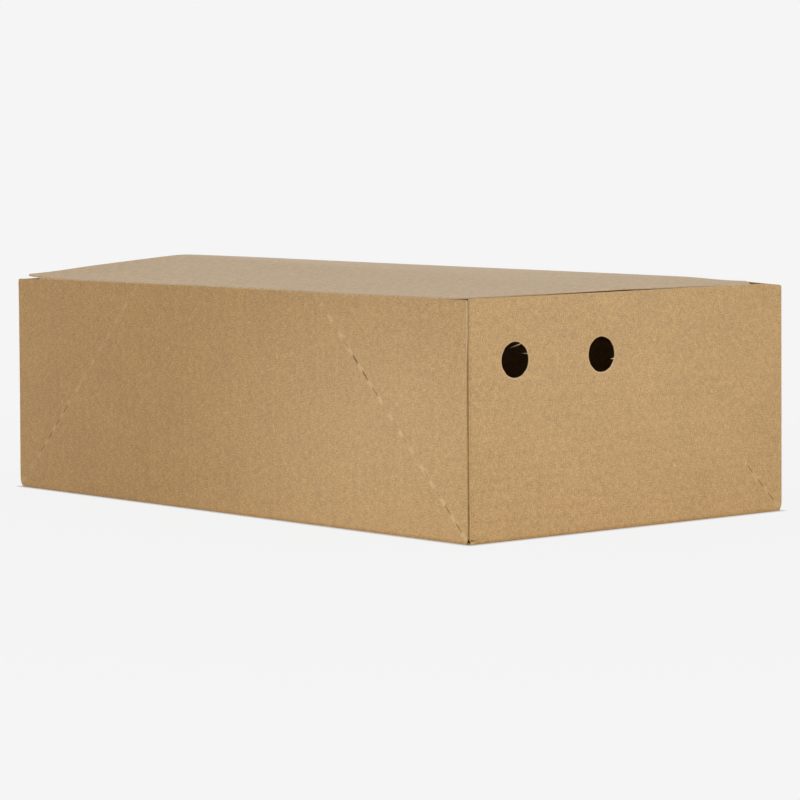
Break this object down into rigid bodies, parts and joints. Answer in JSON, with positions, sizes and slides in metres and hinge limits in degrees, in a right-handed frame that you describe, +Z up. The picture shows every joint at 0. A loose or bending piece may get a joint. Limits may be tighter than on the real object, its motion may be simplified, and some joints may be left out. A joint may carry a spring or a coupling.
{
  "type": "fries box",
  "caption": "Folding kraft-board take-away box with a hinged lid, a tuck flap, glued corner tabs and vent holes in its ends.",
  "frame": {"origin": "centre of the base's underside", "axes": "+X along the long side, +Y from the front wall to the hinged back wall, +Z up"},
  "size_m": [0.23, 0.127, 0.076],
  "materials": {
    "kraft_board": "matte, uncoated"
  },
  "bodies": {
    "tray": {"tray": "kraft_board"},
    "lid": {"lid": "kraft_board"}
  },
  "joints": [
    {"name": "lid_hinge", "type": "hinge", "parent": "tray", "child": "lid", "pos_m": [0, 0.0632, 0.07], "axis": [-1, 0, 0], "range_deg": [0, 180]}
  ]
}
